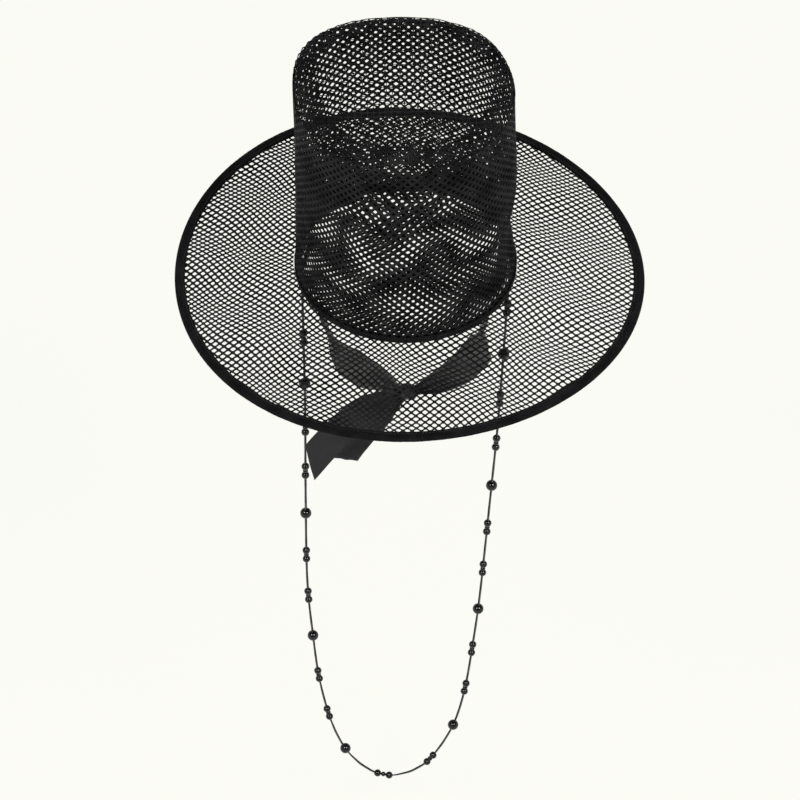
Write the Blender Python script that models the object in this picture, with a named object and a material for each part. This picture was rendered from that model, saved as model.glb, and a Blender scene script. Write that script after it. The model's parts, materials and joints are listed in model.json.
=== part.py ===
"""Tall net hat with a wide bound brim, two ribbon ties and a long beaded cord.

Metres, +Z up.  The origin is the centre of the head opening, at the middle of
the ring where the crown meets the brim.
"""
import math

import bmesh
import bpy
from mathutils import Vector

GAP = 0.0003                      # left between pieces that touch

# ---- ring at the foot of the crown -------------------------------------
RING_OUTER = 0.0945
RING_INNER = 0.0900
RING_TOP = 0.0035
RING_BOTTOM = -0.0030
RING_TAPE = 0.0007                # thickness of the folded tape
RING_WIRE = 0.0010                # radius of the wire inside it
RING_WIRE_LOOP = 0.09225
RING_WIRE_HEIGHT = -0.0010

# ---- crown -------------------------------------------------------------
CROWN_HEIGHT = 0.1995
CROWN_FOOT = 0.0004               # lower edge of both nets, inside the ring
NET = 0.0006                      # thickness of a net
WALL_FOOT_RADIUS = 0.0934
WALL_TOP_RADIUS = 0.0890
WALL_TOP = 0.1895
LINING_FOOT_RADIUS = 0.0917
LINING_TOP_RADIUS = 0.0860
LINING_TOP = 0.1840
CROWN_BULGES = [                  # share of the radius, where, and how wide
    (0.160, math.radians(139), math.radians(28)),
    (0.077, math.radians(52), math.radians(30)),
    (0.028, math.radians(99), math.radians(25)),
]

# ---- brim --------------------------------------------------------------
BRIM_RADIUS = 0.2000
BRIM_DROOP = 0.0110               # how far the rim lies below the ring
BRIM_SADDLE = 0.0050              # the rim rises and falls by this, twice round
BRIM_SADDLE_TURN = math.radians(27)
BRIM_LEAN = 0.0018                # the +X side lies this much lower
BRIM_SHIFT = 0.0035               # the rim's centre lies this far along +X
BRIM_NET = 0.0008
BRIM_NET_EDGE = 0.1971
BINDING_WIDTH = 0.0090
BINDING_HALF = 0.0018             # half the height of the folded edge tape
BINDING_TAPE = 0.0007
HOOP_WIRE = 0.0008
HOOP_LOOP = 0.1982

# ---- beaded cord -------------------------------------------------------
CORD_RADIUS = 0.00075
CORD_RUNS = 76                    # straight runs along the whole cord
BEAD_GROUPS = 12                  # on each side of the middle run
BEADS_MIDDLE = 39                 # the run that the bead pattern starts from
RUNS_PER_GROUP = 3
BORE = 0.00115
COLLAR = 0.0015                   # neck between the touching beads of a triple
LARGE_BEAD = 0.0052
MEDIUM_BEAD = 0.0036
SMALL_BEAD = 0.0024
BEAD_PITCH = 0.0059               # between the middles of touching beads
TAB_RADIUS = 0.0888
TAB_SIZE = (0.0016, 0.0080, 0.0120)
TAB_MIDDLE = -0.0020
CORD_START = TAB_MIDDLE - TAB_SIZE[2] / 2 - GAP

# the cord's route from the left tab to the right one
CORD_ROUTE = [
    (-TAB_RADIUS, 0.0, CORD_START), (-0.0886, 0.001, -0.060),
    (-0.0888, 0.002, -0.180), (-0.0905, 0.003, -0.300),
    (-0.0912, 0.003, -0.420), (-0.0872, 0.002, -0.500),
    (-0.0815, 0.001, -0.570), (-0.0690, 0.0, -0.640),
    (-0.0500, 0.0, -0.688), (-0.0210, 0.0, -0.715),
    (0.0100, 0.0, -0.706), (0.0290, 0.0, -0.680),
    (0.0470, 0.0, -0.634), (0.0575, 0.001, -0.580),
    (0.0645, 0.002, -0.510), (0.0700, 0.003, -0.440),
    (0.0775, 0.003, -0.300), (0.0825, 0.002, -0.200),
    (0.0858, 0.001, -0.100), (TAB_RADIUS, 0.0, CORD_START),
]

# ---- ribbon ties -------------------------------------------------------
RIBBON = 0.0010                   # thickness
KNOT = Vector((0.0020, 0.0650, -0.2310))
KNOT_RADII = (0.0100, 0.0075, 0.0085)

# each row: position, width, and the way the ribbon's width points
TIE_RIGHT = [
    ((0.0680, -0.0615, -0.0036), 0.0040, (0.67, 0.74, 0.0)),
    ((0.0672, -0.0560, -0.0150), 0.0036, (0.67, 0.74, 0.0)),
    ((0.0662, -0.0430, -0.0330), 0.0040, (0.7, 0.5, -0.3)),
    ((0.0645, -0.0250, -0.0620), 0.0060, (0.7, 0.0, -0.5)),
    ((0.0665, -0.0100, -0.0860), 0.0180, (0.68, -0.51, -0.52)),
    ((0.0650, 0.0020, -0.1080), 0.0280, (0.68, -0.51, -0.52)),
    ((0.0570, 0.0180, -0.1400), 0.0290, (0.68, -0.51, -0.52)),
    ((0.0450, 0.0360, -0.1750), 0.0270, (0.68, -0.51, -0.52)),
    ((0.0270, 0.0540, -0.2080), 0.0200, (0.68, -0.51, -0.52)),
    ((0.0135, 0.0620, -0.2235), 0.0110, (0.68, -0.51, -0.52)),
]
TIE_LEFT = [
    ((-0.0700, -0.0600, -0.0036), 0.0040, (-0.67, 0.74, 0.0)),
    ((-0.0692, -0.0540, -0.0160), 0.0036, (-0.67, 0.74, 0.0)),
    ((-0.0665, -0.0410, -0.0420), 0.0040, (-0.7, 0.5, -0.3)),
    ((-0.0620, -0.0240, -0.0740), 0.0070, (-0.7, 0.0, -0.5)),
    ((-0.0565, -0.0080, -0.1050), 0.0180, (-0.68, -0.51, -0.52)),
    ((-0.0490, 0.0080, -0.1330), 0.0280, (-0.68, -0.51, -0.52)),
    ((-0.0395, 0.0240, -0.1600), 0.0290, (-0.68, -0.51, -0.52)),
    ((-0.0290, 0.0400, -0.1860), 0.0260, (-0.68, -0.51, -0.52)),
    ((-0.0180, 0.0540, -0.2090), 0.0190, (-0.68, -0.51, -0.52)),
    ((-0.0095, 0.0620, -0.2235), 0.0110, (-0.68, -0.51, -0.52)),
]
END_LEFT = [
    ((-0.0100, 0.0655, -0.2365), 0.0120, (0.61, -0.55, -0.56)),
    ((-0.0210, 0.0650, -0.2430), 0.0190, (0.61, -0.55, -0.56)),
    ((-0.0380, 0.0630, -0.2550), 0.0270, (0.61, -0.55, -0.56)),
    ((-0.0560, 0.0600, -0.2730), 0.0290, (0.61, -0.55, -0.56)),
    ((-0.0730, 0.0560, -0.2930), 0.0290, (0.61, -0.55, -0.56)),
    ((-0.0880, 0.0520, -0.3130), 0.0280, (0.61, -0.55, -0.56)),
]
END_RIGHT = [
    ((-0.0040, 0.0690, -0.2410), 0.0110, (0.66, -0.50, -0.56)),
    ((-0.0120, 0.0725, -0.2520), 0.0180, (0.66, -0.50, -0.56)),
    ((-0.0240, 0.0740, -0.2690), 0.0260, (0.66, -0.50, -0.56)),
    ((-0.0370, 0.0735, -0.2880), 0.0280, (0.66, -0.50, -0.56)),
    ((-0.0490, 0.0720, -0.3080), 0.0280, (0.66, -0.50, -0.56)),
    ((-0.0590, 0.0700, -0.3270), 0.0270, (0.66, -0.50, -0.56)),
]

CROWN_STEPS = 52
BRIM_STEPS = 60


def clear_scene():
    for old in list(bpy.data.objects):
        bpy.data.objects.remove(old, do_unlink=True)


def look(name, colour, roughness, metallic=0.0):
    """A plain material of this colour."""
    material = bpy.data.materials.new(name)
    material.use_nodes = True
    shader = material.node_tree.nodes["Principled BSDF"]
    shader.inputs["Base Color"].default_value = (*colour, 1.0)
    shader.inputs["Roughness"].default_value = roughness
    shader.inputs["Metallic"].default_value = metallic
    return material


def add_object(name, data, material):
    data.materials.append(material)
    piece = bpy.data.objects.new(name, data)
    bpy.context.scene.collection.objects.link(piece)
    return piece


def solid(name, points, faces, material, smooth=True):
    """A closed mesh with its faces turned outwards."""
    mesh = bpy.data.meshes.new(name)
    mesh.from_pydata(points, [], faces)
    work = bmesh.new()
    work.from_mesh(mesh)
    bmesh.ops.recalc_face_normals(work, faces=work.faces)
    work.to_mesh(mesh)
    work.free()
    for face in mesh.polygons:
        face.use_smooth = smooth
    return add_object(name, mesh, material)


def upright(radius, height, angle):
    return (radius * math.cos(angle), radius * math.sin(angle), height)


def on_crown(radius, height, angle):
    """A point of the crown, which is fuller towards its back and its top."""
    bulge = 0.0
    for share, middle, width in CROWN_BULGES:
        bulge += share * math.exp(-((angle - middle) / width) ** 2)
    rise = min(max(height / CROWN_HEIGHT, 0.0), 1.0)
    return upright(radius * (1 + bulge * rise ** 2), height, angle)


def on_brim(radius, height, angle):
    """A point of the brim, which droops, leans and waves towards its rim."""
    share = max(0.0, (radius - RING_OUTER) / (BRIM_RADIUS - RING_OUTER))
    fall = BRIM_DROOP + BRIM_LEAN * math.cos(angle)
    fall += BRIM_SADDLE * math.cos(2 * (angle - BRIM_SADDLE_TURN))
    return (
        radius * math.cos(angle) + BRIM_SHIFT * share,
        radius * math.sin(angle),
        height - fall * share,
    )


def turned(name, outline, material, steps, place=upright):
    """Turns a closed outline of (radius, height) points about an axis."""
    points = []
    rows = []
    for radius, height in outline:
        if radius < 1e-9:
            rows.append([len(points)] * steps)
            points.append(place(0.0, height, 0.0))
            continue
        rows.append(list(range(len(points), len(points) + steps)))
        for step in range(steps):
            points.append(place(radius, height, math.tau * step / steps))
    faces = []
    for here, there in zip(rows, rows[1:] + rows[:1]):
        for step in range(steps):
            after = (step + 1) % steps
            corners = [here[step], here[after], there[after], there[step]]
            corners = list(dict.fromkeys(corners))
            if len(corners) > 2:
                faces.append(corners)
    return solid(name, points, faces, material)


def ring_outline(radius, height, thickness, corners=6):
    """The round section of a wire hoop."""
    outline = []
    for corner in range(corners):
        angle = math.tau * corner / corners
        outline.append((
            radius + thickness * math.cos(angle),
            height + thickness * math.sin(angle),
        ))
    return outline


def sloping_wall(foot, top, foot_radius, top_radius, thickness, rows=4):
    """The section of a slightly tapered net tube."""
    outer = []
    for row in range(rows):
        share = row / (rows - 1)
        height = foot + (top - foot) * share
        outer.append((foot_radius + (top_radius - foot_radius) * share, height))
    inner = [(radius - thickness, height) for radius, height in reversed(outer)]
    return outer + inner


def make_crown(net, tape, wire):
    """Crown top, wall, lining, turned-in shoulder and the wired ring."""
    dome = [
        (0.0, CROWN_HEIGHT), (0.0500, 0.1994), (0.0740, 0.1990), (0.0818, 0.1981),
        (0.0864, 0.1957), (0.0884, 0.1916), (0.0888, 0.1898),
    ]
    under = [
        (0.0880, 0.1898), (0.0876, 0.1911), (0.0858, 0.1951), (0.0815, 0.1973),
        (0.0739, 0.1982), (0.0500, 0.1986), (0.0, CROWN_HEIGHT - 0.0008),
    ]
    turned("crown_top_net", dome + under, net, CROWN_STEPS, on_crown)
    wall = sloping_wall(
        CROWN_FOOT, WALL_TOP, WALL_FOOT_RADIUS, WALL_TOP_RADIUS, NET)
    turned("crown_wall_net", wall, net, CROWN_STEPS, on_crown)
    lining = sloping_wall(
        CROWN_FOOT, LINING_TOP, LINING_FOOT_RADIUS, LINING_TOP_RADIUS, NET)
    turned("crown_lining_net", lining, net, CROWN_STEPS, on_crown)
    # a second layer of net that turns in over the shoulder, under the top
    shoulder = [
        (0.0874, 0.1870), (0.0870, 0.1908), (0.0853, 0.1945), (0.0813, 0.1966),
        (0.0738, 0.1975), (0.0690, 0.1976), (0.0690, 0.1970), (0.0737, 0.1969),
        (0.0811, 0.1960), (0.0849, 0.1940), (0.0864, 0.1905), (0.0868, 0.1870),
    ]
    turned("crown_shoulder_net", shoulder, net, CROWN_STEPS, on_crown)
    floor = RING_BOTTOM + RING_TAPE
    folded = [
        (RING_OUTER, RING_BOTTOM), (RING_OUTER, RING_TOP),
        (RING_OUTER - RING_TAPE, RING_TOP), (RING_OUTER - RING_TAPE, floor),
        (RING_INNER + RING_TAPE, floor), (RING_INNER + RING_TAPE, RING_TOP),
        (RING_INNER, RING_TOP), (RING_INNER, RING_BOTTOM),
    ]
    turned("base_ring_binding", folded, tape, CROWN_STEPS)
    hoop = ring_outline(RING_WIRE_LOOP, RING_WIRE_HEIGHT, RING_WIRE)
    turned("base_ring_wire", hoop, wire, CROWN_STEPS)


def make_brim(net, tape, wire):
    """Brim net, the folded tape round its rim and the hoop wire inside."""
    half = BRIM_NET / 2
    inner = RING_OUTER + GAP
    middle = (inner + BRIM_NET_EDGE) / 2
    sheet = [
        (inner, half), (middle, half), (BRIM_NET_EDGE, half),
        (BRIM_NET_EDGE, -half), (middle, -half), (inner, -half),
    ]
    turned("brim_net", sheet, net, BRIM_STEPS, on_brim)
    edge = BRIM_RADIUS - BINDING_WIDTH
    slot = BINDING_HALF - BINDING_TAPE
    folded = [
        (BRIM_RADIUS, BINDING_HALF), (edge, BINDING_HALF), (edge, slot),
        (BRIM_RADIUS - BINDING_TAPE, slot), (BRIM_RADIUS - BINDING_TAPE, -slot),
        (edge, -slot), (edge, -BINDING_HALF), (BRIM_RADIUS, -BINDING_HALF),
    ]
    turned("brim_edge_binding", folded, tape, BRIM_STEPS, on_brim)
    hoop = ring_outline(HOOP_LOOP, 0.0, HOOP_WIRE)
    turned("brim_hoop_wire", hoop, wire, BRIM_STEPS, on_brim)


def box(name, middle, size, material):
    corners = []
    for x in (-0.5, 0.5):
        for y in (-0.5, 0.5):
            for z in (-0.5, 0.5):
                corners.append((
                    middle[0] + x * size[0],
                    middle[1] + y * size[1],
                    middle[2] + z * size[2],
                ))
    faces = [
        (0, 1, 3, 2), (4, 6, 7, 5), (0, 4, 5, 1),
        (2, 3, 7, 6), (0, 2, 6, 4), (1, 5, 7, 3),
    ]
    return solid(name, corners, faces, material, smooth=False)


def smooth_curve(knots, per_span=24):
    """A smooth curve through the knots, as many short steps."""
    knots = [Vector(knot) for knot in knots]
    before = knots[0] * 2 - knots[1]
    after = knots[-1] * 2 - knots[-2]
    padded = [before] + knots + [after]
    curve = []
    for index in range(1, len(padded) - 2):
        a, b, c, d = padded[index - 1:index + 3]
        for step in range(per_span):
            t = step / per_span
            curve.append(0.5 * (
                2 * b + (c - a) * t
                + (2 * a - 5 * b + 4 * c - d) * t ** 2
                + (3 * b - a - 3 * c + d) * t ** 3
            ))
    curve.append(knots[-1])
    return curve


def evenly(curve, runs):
    """runs + 1 points at equal distances along a curve."""
    distance = [0.0]
    for here, there in zip(curve, curve[1:]):
        distance.append(distance[-1] + (there - here).length)
    points = []
    index = 0
    for run in range(runs + 1):
        wanted = distance[-1] * run / runs
        while index < len(curve) - 2 and distance[index + 1] < wanted:
            index += 1
        span = distance[index + 1] - distance[index]
        points.append(curve[index].lerp(
            curve[index + 1], (wanted - distance[index]) / span))
    return points


def tube(name, points, radius, material):
    data = bpy.data.curves.new(name, "CURVE")
    data.dimensions = "3D"
    data.bevel_depth = radius
    data.bevel_resolution = 2
    data.use_fill_caps = True
    spline = data.splines.new("POLY")
    spline.points.add(len(points) - 1)
    for target, point in zip(spline.points, points):
        target.co = (*point, 1.0)
    return add_object(name, data, material)


def bead_outline(radii):
    """The section of one bead, or of beads that touch, with a hole through."""
    start = -BEAD_PITCH * (len(radii) - 1) / 2
    outline = []
    for number, radius in enumerate(radii):
        middle = start + BEAD_PITCH * number
        near = COLLAR if number > 0 else BORE
        far = COLLAR if number < len(radii) - 1 else BORE
        first = math.asin(near / radius)
        last = math.pi - math.asin(far / radius)
        points = 7 if radius == LARGE_BEAD else 5
        for point in range(points):
            angle = first + (last - first) * point / (points - 1)
            outline.append((
                radius * math.sin(angle), middle - radius * math.cos(angle)))
    return outline


def string_beads(name, start, end, radii, material):
    """Turns a group of beads about one straight run of the cord."""
    middle = (start + end) / 2
    along = (end - start).normalized()
    side = along.cross(Vector((0.0, 1.0, 0.0))).normalized()
    other = along.cross(side)

    def place(radius, height, angle):
        sideways = side * math.cos(angle) + other * math.sin(angle)
        return tuple(middle + along * height + sideways * radius)

    turned(name, bead_outline(radii), material, 12, place)


def make_beaded_cord(cord, bead, tape):
    """Two tabs inside the ring, the cord between them, and its beads."""
    for side, sign in (("left", -1), ("right", 1)):
        middle = (sign * TAB_RADIUS, 0.0, TAB_MIDDLE)
        box(f"cord_tab_{side}", middle, TAB_SIZE, tape)
    points = evenly(smooth_curve(CORD_ROUTE), CORD_RUNS)
    tube("bead_cord", points, CORD_RADIUS, cord)
    triple = (MEDIUM_BEAD, SMALL_BEAD, MEDIUM_BEAD)
    for number in range(BEAD_GROUPS):
        radii = (LARGE_BEAD,) if number % 3 == 1 else triple
        run = RUNS_PER_GROUP * number + 1
        left = BEADS_MIDDLE - run - 1
        right = BEADS_MIDDLE + run
        string_beads(
            f"beads_left_{number + 1:02d}",
            points[left], points[left + 1], radii, bead)
        string_beads(
            f"beads_right_{number + 1:02d}",
            points[right], points[right + 1], radii, bead)


def ribbon(name, rows, material):
    """A thin flat strip through the rows, each with its own width."""
    places = [Vector(row[0]) for row in rows]
    points = []
    for number, (place, width, across) in enumerate(rows):
        before = places[max(number - 1, 0)]
        after = places[min(number + 1, len(rows) - 1)]
        along = (after - before).normalized()
        across = Vector(across)
        across = (across - along * across.dot(along)).normalized()
        normal = along.cross(across)
        for flat, thick in ((-1, -1), (1, -1), (1, 1), (-1, 1)):
            offset = across * flat * width / 2 + normal * thick * RIBBON / 2
            points.append(tuple(Vector(place) + offset))
    # triangles, because a twisted strip has no flat four-sided faces, and the
    # two broad sides are split the same way, or they would cross
    faces = [(0, 1, 2), (0, 2, 3)]
    for row in range(len(rows) - 1):
        a, b, c, d = range(4 * row, 4 * row + 4)
        faces += [(a, b, b + 4), (a, b + 4, a + 4)]
        faces += [(c, d, c + 4), (d, d + 4, c + 4)]
        faces += [(b, c, c + 4), (b, c + 4, b + 4)]
        faces += [(d, a, a + 4), (d, a + 4, d + 4)]
    last = 4 * (len(rows) - 1)
    faces += [(last, last + 1, last + 2), (last, last + 2, last + 3)]
    return solid(name, points, faces, material)


def make_ties(cloth):
    """Two ribbons from the ring, knotted, with their loose ends."""
    ribbon("tie_left", TIE_LEFT, cloth)
    ribbon("tie_right", TIE_RIGHT, cloth)
    ribbon("tie_end_left", END_LEFT, cloth)
    ribbon("tie_end_right", END_RIGHT, cloth)
    outline = []
    for step in range(9):
        angle = math.pi * step / 8
        outline.append((math.sin(angle) if 0 < step < 8 else 0.0, -math.cos(angle)))

    def place(radius, height, angle):
        return (
            KNOT.x + KNOT_RADII[0] * radius * math.cos(angle),
            KNOT.y + KNOT_RADII[1] * radius * math.sin(angle),
            KNOT.z + KNOT_RADII[2] * height,
        )

    turned("tie_knot", outline, cloth, 12, place)


def main():
    clear_scene()
    net = look("net", (0.020, 0.020, 0.022), 0.75)
    tape = look("binding_tape", (0.012, 0.012, 0.013), 0.85)
    wire = look("wire", (0.40, 0.40, 0.42), 0.35, 1.0)
    cord = look("cord", (0.020, 0.020, 0.020), 0.60)
    bead = look("bead", (0.005, 0.005, 0.006), 0.12)
    cloth = look("ribbon", (0.030, 0.030, 0.032), 0.80)
    make_crown(net, tape, wire)
    make_brim(net, tape, wire)
    make_beaded_cord(cord, bead, tape)
    make_ties(cloth)


main()
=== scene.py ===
"""Tall net hat with a wide bound brim, ribbon ties and a long beaded cord.

Metres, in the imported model's frame: +Z up, the origin at the middle of the ring
where the crown meets the brim.  -Y is the front, where the camera stands.
"""
import json
import math

import bmesh
import bpy
from mathutils import Vector, noise
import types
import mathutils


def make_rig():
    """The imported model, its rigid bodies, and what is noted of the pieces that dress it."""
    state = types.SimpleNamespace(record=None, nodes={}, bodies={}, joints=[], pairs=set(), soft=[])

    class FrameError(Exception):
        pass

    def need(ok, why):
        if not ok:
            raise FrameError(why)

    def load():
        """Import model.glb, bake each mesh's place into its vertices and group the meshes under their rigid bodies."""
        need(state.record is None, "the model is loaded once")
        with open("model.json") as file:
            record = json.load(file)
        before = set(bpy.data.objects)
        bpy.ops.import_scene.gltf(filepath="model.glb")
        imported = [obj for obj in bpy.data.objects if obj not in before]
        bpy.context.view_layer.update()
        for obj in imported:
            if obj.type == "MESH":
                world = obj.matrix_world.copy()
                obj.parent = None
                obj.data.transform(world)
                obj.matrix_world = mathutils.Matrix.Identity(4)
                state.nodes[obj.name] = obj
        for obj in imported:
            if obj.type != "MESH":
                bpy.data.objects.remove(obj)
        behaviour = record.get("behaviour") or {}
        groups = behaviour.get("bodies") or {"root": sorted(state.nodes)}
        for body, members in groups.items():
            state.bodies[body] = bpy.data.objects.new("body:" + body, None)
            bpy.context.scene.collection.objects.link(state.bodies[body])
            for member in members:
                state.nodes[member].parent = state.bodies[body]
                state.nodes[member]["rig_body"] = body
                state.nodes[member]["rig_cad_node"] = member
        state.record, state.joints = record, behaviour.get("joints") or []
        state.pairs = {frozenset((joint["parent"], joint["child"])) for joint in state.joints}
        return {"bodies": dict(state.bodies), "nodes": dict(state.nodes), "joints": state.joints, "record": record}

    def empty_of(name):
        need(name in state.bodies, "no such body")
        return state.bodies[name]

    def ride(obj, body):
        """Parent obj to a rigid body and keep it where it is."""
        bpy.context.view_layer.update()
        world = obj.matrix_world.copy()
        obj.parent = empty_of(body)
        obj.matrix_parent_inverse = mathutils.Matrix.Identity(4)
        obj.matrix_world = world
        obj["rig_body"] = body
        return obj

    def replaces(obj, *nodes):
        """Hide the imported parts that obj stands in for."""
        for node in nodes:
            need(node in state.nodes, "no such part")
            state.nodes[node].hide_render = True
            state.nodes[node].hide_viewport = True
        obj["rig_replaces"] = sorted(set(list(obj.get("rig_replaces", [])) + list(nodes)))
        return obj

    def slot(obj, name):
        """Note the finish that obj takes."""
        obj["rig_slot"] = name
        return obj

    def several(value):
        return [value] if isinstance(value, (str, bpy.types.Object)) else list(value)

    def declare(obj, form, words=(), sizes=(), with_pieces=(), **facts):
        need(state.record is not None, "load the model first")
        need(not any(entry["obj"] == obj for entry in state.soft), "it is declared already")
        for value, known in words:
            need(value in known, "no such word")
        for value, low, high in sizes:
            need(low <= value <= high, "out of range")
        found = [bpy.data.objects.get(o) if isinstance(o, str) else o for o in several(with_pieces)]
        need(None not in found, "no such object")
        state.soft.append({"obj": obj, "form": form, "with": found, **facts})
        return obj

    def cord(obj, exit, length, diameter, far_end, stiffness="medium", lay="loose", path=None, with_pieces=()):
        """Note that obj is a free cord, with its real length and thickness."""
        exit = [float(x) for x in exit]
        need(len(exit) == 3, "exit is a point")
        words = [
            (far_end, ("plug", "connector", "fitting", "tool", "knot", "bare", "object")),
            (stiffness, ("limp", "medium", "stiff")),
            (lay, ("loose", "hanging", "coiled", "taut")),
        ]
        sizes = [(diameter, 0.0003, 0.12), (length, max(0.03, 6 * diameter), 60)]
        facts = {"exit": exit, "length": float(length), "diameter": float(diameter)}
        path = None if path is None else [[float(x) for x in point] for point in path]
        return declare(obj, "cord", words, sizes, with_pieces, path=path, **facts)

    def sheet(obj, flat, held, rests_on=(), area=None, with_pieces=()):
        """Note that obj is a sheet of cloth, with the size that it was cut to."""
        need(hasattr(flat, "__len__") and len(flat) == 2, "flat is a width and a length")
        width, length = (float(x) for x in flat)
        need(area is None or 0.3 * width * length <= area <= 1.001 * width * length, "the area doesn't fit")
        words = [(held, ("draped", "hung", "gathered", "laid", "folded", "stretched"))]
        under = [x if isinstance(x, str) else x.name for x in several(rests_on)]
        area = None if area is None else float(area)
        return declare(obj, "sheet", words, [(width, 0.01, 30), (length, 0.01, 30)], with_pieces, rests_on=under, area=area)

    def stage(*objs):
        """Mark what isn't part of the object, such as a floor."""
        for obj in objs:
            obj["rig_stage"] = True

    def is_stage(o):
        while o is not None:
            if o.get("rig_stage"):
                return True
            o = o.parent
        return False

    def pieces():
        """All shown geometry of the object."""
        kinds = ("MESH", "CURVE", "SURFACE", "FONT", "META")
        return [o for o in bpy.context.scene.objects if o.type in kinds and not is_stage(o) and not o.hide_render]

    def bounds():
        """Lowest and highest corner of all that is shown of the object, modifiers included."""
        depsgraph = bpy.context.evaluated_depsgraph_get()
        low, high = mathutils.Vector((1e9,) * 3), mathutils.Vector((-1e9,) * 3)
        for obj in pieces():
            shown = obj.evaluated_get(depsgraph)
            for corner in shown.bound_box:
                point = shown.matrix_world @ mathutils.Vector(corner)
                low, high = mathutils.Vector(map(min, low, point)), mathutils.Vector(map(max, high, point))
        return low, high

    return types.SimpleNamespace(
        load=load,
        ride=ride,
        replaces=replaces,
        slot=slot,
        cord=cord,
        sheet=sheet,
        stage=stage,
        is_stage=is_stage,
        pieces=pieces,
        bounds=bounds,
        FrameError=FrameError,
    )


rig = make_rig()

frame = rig.load()
cad_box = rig.bounds()

# ---- camera, floor and light ----
CAMERA_AT = (0.0035, -2.271, 2.255)
CAMERA_AIM = (-0.0048, 0.0, -0.1724)
CAMERA_LENS = 169.5  # mm
CAMERA_SENSOR = 36.0  # mm wide
PALE = (1.0, 0.997, 0.945, 1.0)  # the floor's glow and the sky
FLOOR_GLOW = 0.918
FLOOR_HALF = 12.0
FLOOR_GAP = 0.05  # between the floor and the lowest bead
SKY_HEIGHTS = (0.14, 0.34)  # how far up one looks
SKY_STRENGTHS = (0.962, 0.26)
SOFTBOX_SIZE = 1.25
SOFTBOXES = [
    ("softbox_left", (-1.9, -1.9, 2.9), 100.0),
    ("softbox_right", (1.9, -1.9, 2.9), 120.0),
]

# ---- the darker and the lighter colour of each material ----
COLOURS = {
    "nylon_net": ((0.0022, 0.0022, 0.0025), (0.015, 0.015, 0.016)),
    "fine_nylon_net": ((0.0025, 0.0025, 0.0028), (0.016, 0.016, 0.017)),
    "woven_tape": ((0.002, 0.002, 0.0023), (0.0075, 0.0075, 0.008)),
    "sheer_ribbon": ((0.006, 0.006, 0.007), (0.015, 0.015, 0.017)),
    "cord_black": ((0.004, 0.004, 0.0045), (0.01, 0.01, 0.011)),
    "cord_grey": ((0.045, 0.045, 0.046), (0.13, 0.13, 0.132)),
    "polished_bead": ((0.0008, 0.0008, 0.001), (0.0022, 0.0022, 0.0025)),
    "drawn_wire": ((0.22, 0.22, 0.23), (0.42, 0.42, 0.44)),
    "sewing_thread": ((0.01, 0.01, 0.011), (0.028, 0.028, 0.03)),
    "pale_floor": ((0.049, 0.049, 0.046), (0.051, 0.051, 0.048)),
}
LINT = (0.045, 0.045, 0.05, 1.0)

# ---- ring at the foot of the crown ----
RING_OUTER = 0.0945
RING_INNER = 0.09
RING_TOP = 0.0035
RING_BOTTOM = -0.003
RING_TAPE = 0.0006
RING_CORNER = 0.0015
RING_EDGE = (0.0003, 0.0012)  # the tape's edges lean in by this, this far down
RING_WIRE = 0.001
RING_WIRE_LOOP = 0.09225
RING_WIRE_HEIGHT = -0.001
RING_STEPS = 424
RING_WAVE = 0.0003

# ---- crown ----
CROWN_HEIGHT = 0.1995
CROWN_FOOT = 0.0004
WALL_FOOT_RADIUS = 0.0934
WALL_TOP_RADIUS = 0.089
WALL_TOP = 0.1912  # it laps over the edge of the top net
WALL_LEAN = 0.0008
PINCH_DEPTH = 0.007  # low on the right side
PINCH_ROUND = (0.0, 0.42)  # its middle and width round the crown
PINCH_UP = (0.05, 0.03)  # and up the wall
LINING_FOOT_RADIUS = 0.0917
LINING_TOP_RADIUS = 0.086
LINING_TOP = 0.181
LINING_BACK_TOP = 0.004  # it comes down to this height at the back
LINING_SLACK = 0.0014
SHOULDER_RADIUS = 0.0873
CROWN_BULGES = [  # share of the radius, where, and how wide
    (0.16, math.radians(139), math.radians(28)),
    (0.077, math.radians(52), math.radians(30)),
    (0.028, math.radians(99), math.radians(25)),
]
TOP_PROFILE = [  # radius and height, from the middle outwards
    (0.0, 0.1991), (0.025, 0.1991), (0.05, 0.199), (0.074, 0.1986),
    (0.0817, 0.1977), (0.0861, 0.1954), (0.088, 0.1914), (0.0884, 0.1898),
]
SHOULDER_PROFILE = [  # from the turned-in edge outwards and down
    (0.069, 0.1973), (0.0738, 0.1972), (0.0812, 0.1963), (0.0851, 0.1943),
    (0.0867, 0.1907), (0.0871, 0.187),
]

# ---- the lining's V-shaped fold at the front ----
FOLD_TIP = 0.124  # height of its lowest point
FOLD_SLOPE = 0.72
FOLD_ROUNDING = 0.01
FOLD_REACH = 1.1  # radians to each side of the front
FOLD_DEPTH = 0.0055
FOLD_WIDTH = 0.008
FOLD_GATHER = (0.8, 0.012)  # how much cloth it draws in, and from how far
FOLD_TWIST = (0.16, 0.02)  # how far the cloth turns across it, and over what

# ---- brim ----
BRIM_RADIUS = 0.2
BRIM_DROOP = 0.011
BRIM_SADDLE = 0.005
BRIM_SADDLE_TURN = math.radians(27)
BRIM_LEAN = 0.0018
BRIM_SHIFT = 0.0035
BRIM_NET_START = RING_OUTER + 0.0003
BRIM_NET_EDGE = 0.1971
BRIM_SLACK = (0.147, 0.035)  # where the net is loosest, and how widely
BINDING_WIDTH = 0.009
BINDING_HALF = 0.0018
BINDING_TAPE = 0.0006
BINDING_UPPER = [  # distance from the tape's edge, and height
    (0.0, 0.0013), (0.0008, 0.0015), (0.0018, 0.0012), (0.003, 0.0014),
    (0.005, BINDING_HALF),
]
BINDING_STEPS = 720
HOOP_WIRE = 0.0008
HOOP_LOOP = 0.1982

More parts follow.
